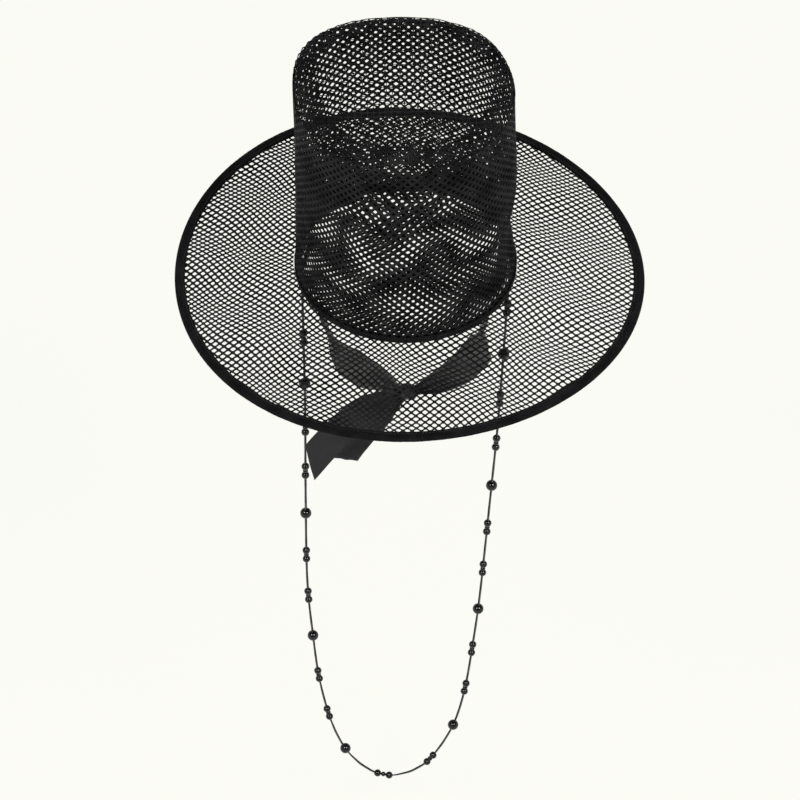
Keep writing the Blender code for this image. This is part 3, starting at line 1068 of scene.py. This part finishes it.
def make_lining_net(material):
    """A looser net inside the wall, folded in a V at the front."""
    rows = int(2 * (LINING_TOP - CROWN_FOOT) / LINING_CELL_HEIGHT)
    whole, round_trip = cells_round(
        LINING_FOOT_RADIUS, LINING_CELLS_ROUND, rows, LINING_CELL_HEIGHT)

    def spot(u, v):
        height = CROWN_FOOT + v
        angle = math.tau * (u + LINING_SLANT * v) / round_trip
        above, from_front = above_fold(angle, height)
        near = hump(from_front, 0.0, FOLD_REACH)
        gather, reach = FOLD_GATHER
        height -= gather * above * hump(above, 0.0, reach) * near
        twist, span = FOLD_TWIST
        angle += twist * near * math.tanh(above / span) * (height / LINING_TOP)
        return angle, clamp(height, CROWN_FOOT, LINING_TOP), above, near

    def place(u, v, level):
        angle, height, above, near = spot(u, v)
        share = (height - CROWN_FOOT) / (LINING_TOP - CROWN_FOOT)
        radius = LINING_FOOT_RADIUS
        radius += (LINING_TOP_RADIUS - LINING_FOOT_RADIUS) * share
        radius += wall_radius(half_turn(angle), height) - wall_radius(math.pi / 2, height)
        loose = math.sin(math.pi * min(share, 1.0) * 0.9)
        radius -= LINING_SLACK * loose * (1 + math.sin(6 * angle + 30 * height))
        radius -= FOLD_DEPTH * near * hump(above, 0.0, FOLD_WIDTH)
        return on_crown(radius + level, height, angle)

    cells = []
    for cell in whole:
        u, v = cell[1]
        angle, height, above, near = spot(u, v + LINING_CELL_HEIGHT / 2)
        front = math.sqrt((1 - math.sin(angle)) / 2)
        if height < LINING_BACK_TOP + (LINING_TOP - LINING_BACK_TOP) * front:
            cells.append(cell)
    make_net("crown_lining", cells, place, LINING_OPENING, material, round_trip)


def along_profile(profile, steps=60):
    """A function from the distance along a profile to its point and normal."""
    points = evenly(smooth_curve([(r, 0.0, z) for r, z in profile]), steps)
    total = sum((there - here).length for here, there in zip(points, points[1:]))

    def find(distance):
        share = clamp(distance / total, 0.0, 0.99999) * steps
        index = int(share)
        here, there = points[index], points[index + 1]
        middle = here.lerp(there, share - index)
        along = (there - here).normalized()
        return middle.x, middle.z, -along.z, along.x

    return find, total


def make_top_net(material):
    """A flat square net, eased over the rounded shoulder."""
    find, total = along_profile(TOP_PROFILE)
    count = int(total / TOP_CELL) + 1

    def place(u, v, level):
        u += 0.0011 * math.sin(v / 0.011 + 0.5) + 0.0006 * math.sin(u / 0.007)
        v += 0.001 * math.sin(u / 0.013 + 1.0) + 0.0005 * math.sin(v / 0.006)
        radius, height, out, up = find(math.hypot(u, v))
        radius += out * level
        height += up * level
        height += 0.0008 * noise.noise(Vector((u, v, 0.0)) * 40.0)
        return on_crown(radius, height, math.atan2(v, u))

    cells = []
    for column in range(-count, count):
        for row in range(-count, count):
            u, v = column * TOP_CELL, row * TOP_CELL
            corners = [
                (u, v), (u + TOP_CELL, v),
                (u + TOP_CELL, v + TOP_CELL), (u, v + TOP_CELL),
            ]
            if min(math.hypot(*corner) for corner in corners) < total - 0.0008:
                cells.append(corners)
    make_net(
        "crown_top", cells, place, TOP_OPENING, material, thread=TOP_HALF_THREAD,
        corner=TOP_CORNER)


def make_shoulder_net(material):
    """The second layer of net, gathered over the shoulder under the top."""
    find, total = along_profile(SHOULDER_PROFILE)
    rows = int(2 * total / SHOULDER_CELL_HEIGHT) - 1
    cells, round_trip = cells_round(
        SHOULDER_RADIUS, SHOULDER_CELLS_ROUND, rows, SHOULDER_CELL_HEIGHT)

    def place(u, v, level):
        angle = math.tau * u / round_trip
        edge = frill(angle, SHOULDER_RAGS) * max(0.0, 1 - v / 0.02)
        radius, height, out, up = find(v + edge)
        return on_crown(radius + out * level, height + up * level, angle)

    make_net("crown_shoulder", cells, place, SHOULDER_OPENING, material, round_trip)


# ---- tapes, wires and stitches ----
def swept_ring(name, section, steps, place, material):
    """A closed section swept round.  Its cloth map is in metres on the ring."""
    points = []
    uv = []
    walked = [0.0]
    for here, there in zip(section, section[1:]):
        walked.append(walked[-1] + math.dist(here, there))
    for step in range(steps):
        angle = math.tau * step / steps
        for (radius, height), across in zip(section, walked):
            points.append(place(radius, height, angle))
            uv.append((angle * RING_OUTER, across))
    faces = ring_quads(0, steps, len(section), closed=True)
    return mesh_piece(name, points, faces, [material], uv)


def arc(middle, radius, first, last, count):
    points = []
    for number in range(count):
        angle = math.radians(first + (last - first) * number / (count - 1))
        points.append((
            middle[0] + radius * math.cos(angle),
            middle[1] + radius * math.sin(angle)))
    return points


def make_brim_binding(tape):
    """Tape folded round the hoop wire and pressed flat where it is stitched."""
    edge = BRIM_RADIUS - BINDING_WIDTH
    rim = BRIM_RADIUS - BINDING_HALF
    upper = [(edge + reach, height) for reach, height in BINDING_UPPER]
    section = upper + arc((rim, 0.0), BINDING_HALF, 90, -90, 11)
    section += [(radius, -height) for radius, height in reversed(upper)]
    section += [(radius, -height + BINDING_TAPE) for radius, height in upper]
    section += arc((rim, 0.0), BINDING_HALF - BINDING_TAPE, -90, 90, 9)
    section += [(radius, height - BINDING_TAPE) for radius, height in reversed(upper)]

    def place(radius, height, angle):
        pucker = frill(angle, RIM_PUCKERS)
        free = (BRIM_RADIUS - radius) / BINDING_WIDTH
        return on_brim(
            radius + 0.0004 * pucker * free, height * (1 + pucker * 0.6), angle)

    ring = swept_ring("brim_binding_tape", section, BINDING_STEPS, place, tape)
    stand_for(ring, "binding_tape", "brim_edge_binding")


def make_ring_binding(tape):
    """Tape folded up round the wired ring at the foot of the crown."""
    lean, below = RING_EDGE
    shoulder = RING_TOP - below
    bottom = RING_BOTTOM + RING_CORNER
    outside = (RING_OUTER - RING_CORNER, bottom)
    inside = (RING_INNER + RING_CORNER, bottom)
    small = RING_CORNER - RING_TAPE
    section = [(RING_OUTER - lean, RING_TOP), (RING_OUTER, shoulder)]
    section += arc(outside, RING_CORNER, 0, -90, 6)
    section += arc(inside, RING_CORNER, -90, -180, 6)
    section += [(RING_INNER, shoulder), (RING_INNER + lean, RING_TOP)]
    section += [
        (RING_INNER + lean + RING_TAPE, RING_TOP), (RING_INNER + RING_TAPE, shoulder),
    ]
    section += arc(inside, small, 180, 270, 5)
    section += arc(outside, small, -90, 0, 5)
    section += [
        (RING_OUTER - RING_TAPE, shoulder), (RING_OUTER - lean - RING_TAPE, RING_TOP),
    ]
    middle = (RING_OUTER + RING_INNER) / 2

    def place(radius, height, angle):
        pucker = frill(angle, RING_PUCKERS)
        radius = middle + (radius - middle) * (1 + pucker * 0.5)
        rise = (height - RING_BOTTOM) / (RING_TOP - RING_BOTTOM)
        return upright(radius, height + RING_WAVE * math.sin(17 * angle) * rise, angle)

    ring = swept_ring("ring_binding_tape", section, RING_STEPS, place, tape)
    stand_for(ring, "binding_tape", "base_ring_binding")


def make_wires(wire):
    for name, node, loop, height, radius, place in (
        ("ring_hoop", "base_ring_wire", RING_WIRE_LOOP, RING_WIRE_HEIGHT,
         RING_WIRE, upright),
        ("rim_hoop", "brim_hoop_wire", HOOP_LOOP, 0.0, HOOP_WIRE, on_brim),
    ):
        section = arc((loop, height), radius, 0, 330, 12)
        stand_for(swept_ring(name, section, 300, place, wire), "wire", node)


def make_stitches(name, places, size, thread):
    """Short stitches that dive into the cloth at both ends.  Each place is a
    stitch's middle, its direction and the way out of the cloth."""
    length, thick = size
    points = []
    faces = []
    for middle, along, up in places:
        first = len(points)
        side = along.cross(up).normalized()
        for share, plump in STITCH_SHAPE:
            lift = -thick * STITCH_DIVE * share ** 2
            centre = middle + along * share * length / 2 + up * lift
            points += circle(
                centre, side, up * STITCH_FLATNESS, thick * plump, STITCH_SIDES)
        faces += tube_faces(first, len(STITCH_SHAPE), STITCH_SIDES)
    stand_for(mesh_piece(name, points, faces, [thread]), "binding_tape")


def places_round(count, radius, height, place, up):
    """Places for stitches round a ring; up(angle) is the way out of the cloth."""
    places = []
    for number in range(count):
        angle = math.tau * number / count
        here = Vector(place(radius, height, angle))
        there = Vector(place(radius, height, angle + 0.001))
        places.append((here, (there - here).normalized(), up(angle)))
    return places


def make_all_stitches(thread):
    """Stitching on both faces of the rim tape and round the ring."""
    inwards, height = RIM_SEAM
    seam = BRIM_RADIUS - BINDING_WIDTH + inwards
    for face, sign in (("upper", 1.0), ("lower", -1.0)):
        places = places_round(
            RIM_STITCHES, seam, sign * height, on_brim,
            lambda angle, sign=sign: Vector((0.0, 0.0, sign)))
        make_stitches(f"rim_stitches_{face}", places, RIM_STITCH, thread)
    places = places_round(
        RING_STITCHES, RING_OUTER, RING_SEAM, upright,
        lambda angle: Vector(upright(1.0, 0.0, angle)))
    make_stitches("ring_stitches", places, RING_STITCH, thread)


def squared(value, power):
    """A sine or cosine raised to a power, which squares an oval's corners."""
    return math.copysign(abs(value) ** power, value)


def make_tabs(tape, thread):
    """Two folded tabs inside the ring that hold the cord's ends."""
    thick, wide, tall = (size / 2 for size in TAB_SIZE)
    square_x, square_y = TAB_SQUARENESS
    for side, sign in (("left", -1), ("right", 1)):
        points = []
        uv = []
        for row in range(TAB_ROWS):
            share = row / (TAB_ROWS - 1) * 2 - 1
            narrow = 1 - TAB_NARROWING * max(0.0, -share) ** 3
            for corner in range(TAB_SIDES):
                angle = math.tau * corner / TAB_SIDES
                x = thick * squared(math.cos(angle), square_x)
                y = wide * squared(math.sin(angle), square_y) * narrow
                z = TAB_MIDDLE + tall * share
                points.append((sign * TAB_RADIUS + x, y, z))
                uv.append((y, z))
        faces = tube_faces(0, TAB_ROWS, TAB_SIDES)
        tab = mesh_piece(f"tab_{side}", points, faces, [tape], uv)
        stand_for(tab, "binding_tape", f"cord_tab_{side}")
        places = []
        for row in range(TAB_STITCH_ROWS):
            height = TAB_MIDDLE + TAB_STITCH_START + TAB_STITCH_PITCH * row
            for edge in (-TAB_STITCH_PITCH, TAB_STITCH_PITCH):
                spot = Vector((sign * (TAB_RADIUS - thick), edge, height))
                places.append((spot, Vector((0, 0, 1)), Vector((-sign, 0, 0))))
        make_stitches(f"tab_stitches_{side}", places, TAB_STITCH, thread)


# ---- ribbon ties ----
def make_ribbon(name, rows, ways, material, slant):
    """A sheer strip of constant cloth width, pleated where it is narrow.
    slant is how much longer one edge is than the other at its cut end."""
    middle = smooth_curve([row[:3] for row in rows], RIBBON_STEPS)
    widths = smooth_curve([(row[3], 0, 0) for row in rows], RIBBON_STEPS)
    ways = smooth_curve(ways, RIBBON_STEPS)
    fold = RIBBON_CLOTH / (2 * RIBBON_FOLDS)
    drape_size, drape_length = RIBBON_DRAPE
    points = []
    uv = []
    faces = []
    walked = 0.0
    for index, centre in enumerate(middle):
        before = middle[max(index - 1, 0)]
        after = middle[min(index + 1, len(middle) - 1)]
        walked += (centre - before).length
        along = (after - before).normalized()
        way = (ways[index] - along * ways[index].dot(along)).normalized()
        normal = along.cross(way)
        width = clamp(widths[index].x, RIBBON_LEAST, RIBBON_CLOTH)
        flat_fold = width / (2 * RIBBON_FOLDS)
        depth = FOLD_FULLNESS * math.sqrt(max(0.0, fold ** 2 - flat_fold ** 2))
        near_end = max(0.0, 2 * index / (len(middle) - 1) - 1)
        for column in range(RIBBON_COLUMNS + 1):
            share = column / RIBBON_COLUMNS
            wave = math.cos(math.tau * RIBBON_FOLDS * share + 0.6)
            drape = drape_size * math.sin(walked / drape_length + 5 * share)
            offset = way * (share - 0.5) * width + normal * (depth * wave + drape)
            offset += along * slant * (share - 0.5) * near_end
            points.append(centre + offset)
            uv.append((share, walked))
    row_size = RIBBON_COLUMNS + 1
    for index in range(len(middle) - 1):
        for here in range(index * row_size, index * row_size + RIBBON_COLUMNS):
            faces.append((here, here + 1, here + row_size + 1, here + row_size))
    piece = mesh_piece(name, points, faces, [material], uv)
    thicken = piece.modifiers.new("thickness", "SOLIDIFY")
    thicken.thickness = RIBBON_THICKNESS
    thicken.offset = 0.0
    return piece, walked


def make_ties(material):
    """Two ties from the ring to the knot, and their two loose ends."""
    left_ways = [(-x, y, z) for x, y, z in TIE_WAYS]
    knot = [(*KNOT, KNOT_WIDTH)]
    for name, rows, ways, slant, hangs_from in (
        ("left", TIE_LEFT + knot, left_ways, 0.0, "base_ring_binding"),
        ("right", TIE_RIGHT + knot, TIE_WAYS, 0.0, "base_ring_binding"),
        ("end_left", knot + END_LEFT, END_LEFT_WAYS, END_SLANT, "tie_knot"),
        ("end_right", knot + END_RIGHT, END_RIGHT_WAYS, -END_SLANT, "tie_knot"),
    ):
        piece, length = make_ribbon("ribbon_" + name, rows, ways, material, slant)
        stand_for(piece, "ribbon", "tie_" + name)
        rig.sheet(
            piece, flat=(RIBBON_CLOTH, round(length, 3)), held="hung",
            rests_on=[hangs_from])
    make_knot(material)


def make_knot(material):
    """A small square knot: bunched cloth with one turn wrapped over it."""
    points = []
    uv = []
    for row in range(KNOT_ROWS + 1):
        tilt = math.pi * row / KNOT_ROWS
        for step in range(KNOT_STEPS):
            turn = math.tau * step / KNOT_STEPS
            out = Vector(upright(math.sin(tilt), -math.cos(tilt), turn))
            wrap = hump(out.x * 0.8 + out.z * 0.6, 0.05, 0.3)
            pleats = 0.05 * math.sin(11 * turn + 4 * tilt)
            size = 0.86 + 0.14 * wrap + pleats * (1 - wrap) * math.sin(tilt)
            points.append(KNOT + out * KNOT_RADII * size)
            uv.append((0.5 + 0.4 * math.sin(turn), row * 0.0012))
    faces = ring_quads(0, KNOT_ROWS + 1, KNOT_STEPS)
    piece = mesh_piece("ribbon_knot", points, faces, [material], uv)
    work = bmesh.new()
    work.from_mesh(piece.data)
    bmesh.ops.remove_doubles(work, verts=work.verts, dist=1e-6)
    work.to_mesh(piece.data)
    work.free()
    stand_for(piece, "ribbon", "tie_knot")


# ---- the whole hat ----
def main():
    make_camera()
    strands = [strand_material("cord_black", 0.0007), strand_material("cord_grey", 0.0011)]
    bead = marked_material(
        "polished_bead", 300.0, (0.03, 0.08), (1500.0, 2.0), 0.04, Specular_IOR_Level=0.38,
        Coat_Weight=0.08, Coat_Roughness=0.03)
    make_beaded_cord(strands, bead)
    net = net_material("nylon_net", 0.0009)
    fine_net = net_material("fine_nylon_net", 0.0007)
    tape = tape_material()
    thread = marked_material(
        "sewing_thread", 200.0, (0.4, 0.6), (4000.0, 1.0), 0.5, Specular_IOR_Level=0.3)
    make_brim_net(net)
    make_wall_net(net)
    make_lining_net(net)
    make_top_net(fine_net)
    make_shoulder_net(net)
    make_brim_binding(tape)
    make_ring_binding(tape)
    make_wires(marked_material(
        "drawn_wire", 80.0, (0.28, 0.45), (2500.0, 2.0), 0.2, Metallic=1.0))
    make_all_stitches(thread)
    make_tabs(tape, thread)
    make_ties(ribbon_material())
    make_floor()
    make_lights()


main()
with open("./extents.json", "w") as size_file:
    json.dump({
        "cad": [list(corner) for corner in cad_box],
        "visual": [list(corner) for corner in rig.bounds()],
    }, size_file)
